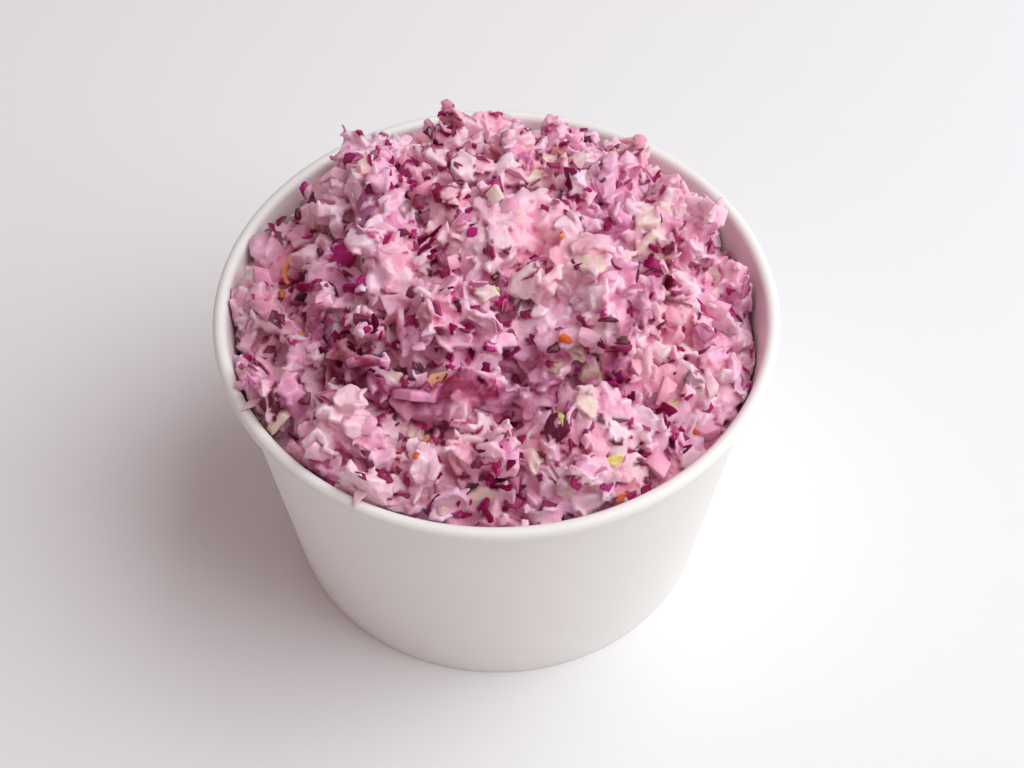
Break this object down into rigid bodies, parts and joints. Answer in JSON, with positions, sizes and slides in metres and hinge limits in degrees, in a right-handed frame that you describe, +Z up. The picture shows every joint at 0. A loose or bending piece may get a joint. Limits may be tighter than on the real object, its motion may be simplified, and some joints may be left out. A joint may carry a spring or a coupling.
{
  "type": "tub of red cabbage coleslaw",
  "caption": "Round tapered paper tub with a rolled rim, heaped with finely chopped red cabbage coleslaw in a creamy pink dressing.",
  "frame": {"origin": "middle of the tub's foot, on the surface it stands on", "axes": "+Z up along the tub's axis, the side seam at the back towards +Y, the side shown first faces -Y"},
  "size_m": [0.098, 0.098, 0.078],
  "materials": {
    "paper": "white coated paperboard, softly matt, slightly warm",
    "paper_base": "white paperboard, matt",
    "coleslaw": "chopped red cabbage and carrot, wet with a pale pink dressing"
  },
  "bodies": {
    "root": {"tub_wall": "paper", "tub_base": "paper_base", "coleslaw": "coleslaw"}
  },
  "joints": []
}
